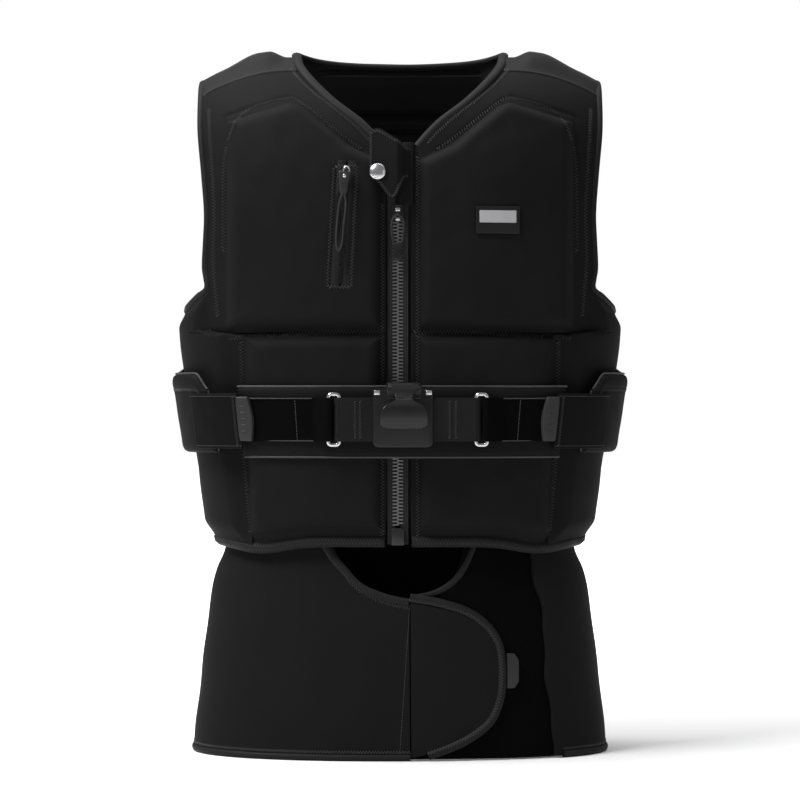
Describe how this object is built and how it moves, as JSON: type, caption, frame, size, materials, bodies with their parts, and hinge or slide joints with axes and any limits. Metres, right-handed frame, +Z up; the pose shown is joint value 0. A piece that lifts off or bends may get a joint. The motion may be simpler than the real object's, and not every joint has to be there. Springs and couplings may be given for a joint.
{
  "type": "harness impact vest",
  "caption": "Padded front-zip vest with a built-in waist harness, a spreader plate with a wide down-turned hook, and a wrap-round kidney belt below.",
  "frame": {"origin": "middle of the bounding box in plan, at the bottom hem", "axes": "+Z up, -Y to the wearer's front, +X to the wearer's left"},
  "size_m": [0.4358, 0.3123, 0.6689],
  "materials": {
    "neoprene": "matte black knitted-face neoprene",
    "loop_fabric": "brushed loop velvet, very dark",
    "foam": "closed-cell buoyancy foam",
    "lining": "black jersey lining",
    "binding": "black elastic binding",
    "webbing": "black woven webbing",
    "rubber": "satin moulded rubber, dark grey",
    "steel": "polished stainless steel",
    "coated_steel": "satin dark grey coated steel",
    "plastic": "black acetal"
  },
  "bodies": {
    "vest": {"right_front_lining": "lining", "right_chest_foam": "foam", "right_chest_shell": "neoprene", "right_belly_panel": "neoprene", "right_shoulder_yoke": "neoprene", "right_side_panel": "neoprene", "left_front_lining": "lining", "left_chest_foam": "foam", "left_chest_shell": "neoprene", "left_belly_panel": "neoprene", "left_shoulder_yoke": "neoprene", "left_side_panel": "neoprene", "back_lining": "lining", "back_upper_foam": "foam", "back_upper_shell": "neoprene", "back_lower_panel": "neoprene", "neck_binding": "binding", "right_armhole_binding": "binding", "left_armhole_binding": "binding", "vest_hem": "binding", "collar_facing": "binding", "inner_back_pad": "neoprene", "chest_patch": "rubber", "right_zip_tape": "binding", "left_zip_tape": "binding", "zip_teeth": "plastic", "zip_retainer": "plastic", "pocket_zip": "binding", "snap_stud": "steel", "belt_back": "neoprene", "belt_front_pad": "neoprene", "right_wing": "neoprene", "left_wing": "neoprene", "right_ring": "steel", "right_loop_strap": "loop_fabric", "right_webbing": "webbing", "left_ring": "steel", "left_loop_strap": "loop_fabric", "left_webbing": "webbing", "spreader_frame": "steel", "spreader_plate": "coated_steel", "spreader_hook": "coated_steel", "skirt_back": "neoprene", "skirt_right_front": "neoprene", "skirt_loop_panel": "loop_fabric", "skirt_left_front": "neoprene", "skirt_hem": "binding"},
    "zip_slider": {"zip_slider": "plastic"},
    "zip_pull": {"zip_pull": "rubber"},
    "pocket_slider": {"pocket_slider": "plastic"},
    "pocket_pull": {"pocket_pull": "rubber"},
    "neck_tab": {"neck_tab": "neoprene", "snap_cap": "steel"},
    "right_wing_strap": {"right_wing_strap": "neoprene", "right_strap_tab": "rubber"},
    "left_wing_strap": {"left_wing_strap": "neoprene", "left_strap_tab": "rubber"},
    "skirt_flap": {"skirt_flap": "neoprene", "skirt_flap_binding": "binding", "skirt_flap_tab": "rubber"}
  },
  "joints": [
    {"name": "zip_slide", "type": "slide", "parent": "vest", "child": "zip_slider", "axis": [0, 0, -1], "range_m": [0, 0.28]},
    {"name": "zip_pull_swing", "type": "hinge", "parent": "zip_slider", "child": "zip_pull", "pos_m": [-0.002, -0.106, 0.5003], "axis": [1, 0, 0], "range_deg": [-100, 0]},
    {"name": "pocket_zip_slide", "type": "slide", "parent": "vest", "child": "pocket_slider", "axis": [-0.0593, -0.0229, -0.998], "range_m": [0, 0.09]},
    {"name": "pocket_pull_swing", "type": "hinge", "parent": "pocket_slider", "child": "pocket_pull", "pos_m": [-0.049, -0.11965, 0.54227], "axis": [0.9982, 0, -0.0593], "range_deg": [-100, 0]},
    {"name": "neck_tab_swing", "type": "hinge", "parent": "vest", "child": "neck_tab", "pos_m": [0.0087, -0.1012, 0.545], "axis": [0, 0.2291, 0.9734], "range_deg": [0, 100]},
    {"name": "right_strap_peel", "type": "hinge", "parent": "vest", "child": "right_wing_strap", "pos_m": [-0.1932, -0.0595, 0.314], "axis": [0.1369, 0, -0.9906], "range_deg": [0, 100]},
    {"name": "left_strap_peel", "type": "hinge", "parent": "vest", "child": "left_wing_strap", "pos_m": [0.1932, -0.0595, 0.314], "axis": [0.1369, 0, 0.9906], "range_deg": [0, 100]},
    {"name": "skirt_flap_peel", "type": "hinge", "parent": "vest", "child": "skirt_flap", "pos_m": [0.0101, -0.1036, 0.076], "axis": [0.0061, -0.082, -0.9966], "range_deg": [0, 95]}
  ]
}
